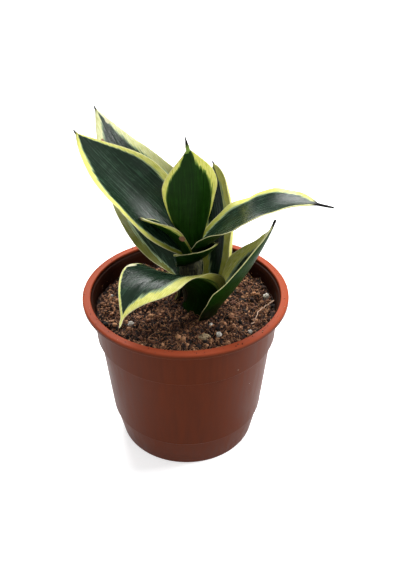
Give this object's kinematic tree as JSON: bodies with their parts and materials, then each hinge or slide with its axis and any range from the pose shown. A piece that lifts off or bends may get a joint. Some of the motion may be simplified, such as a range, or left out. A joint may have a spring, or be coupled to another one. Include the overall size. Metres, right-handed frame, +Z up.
{
  "type": "potted snake plant",
  "caption": "Dwarf snake plant with broad, cupped, gold-margined leaves in a round stepped plastic nursery pot filled with potting soil.",
  "frame": {"origin": "centre of the pot's flat base, on the surface that it stands on", "axes": "+Z up, -Y towards the front of the plant, +X to the front's right"},
  "size_m": [0.1352, 0.12, 0.2009],
  "materials": {
    "pot_plastic": "satin moulded polypropylene",
    "potting_soil": "coarse fibrous crumb",
    "stem": "dry fibrous bark",
    "leaf": "waxy satin, green with yellow margins",
    "perlite": "matt porous granule",
    "bark": "rough",
    "dry_root": "dry fibre"
  },
  "bodies": {
    "root": {"pot": "pot_plastic", "potting_soil": "potting_soil", "stem": "stem", "leaf_centre": "leaf", "leaf_upper_right": "leaf", "young_leaf": "leaf", "leaf_upper_left": "leaf", "sheath_leaf": "leaf", "leaf_back_right": "leaf", "leaf_back_left": "leaf", "leaf_front": "leaf", "leaf_lower_right": "leaf", "perlite_right": "perlite", "perlite_left": "perlite", "perlite_front_left": "perlite", "perlite_front": "perlite", "perlite_front_small": "perlite", "perlite_front_right": "perlite", "bark_chip": "bark", "loose_root": "dry_root"}
  },
  "joints": []
}
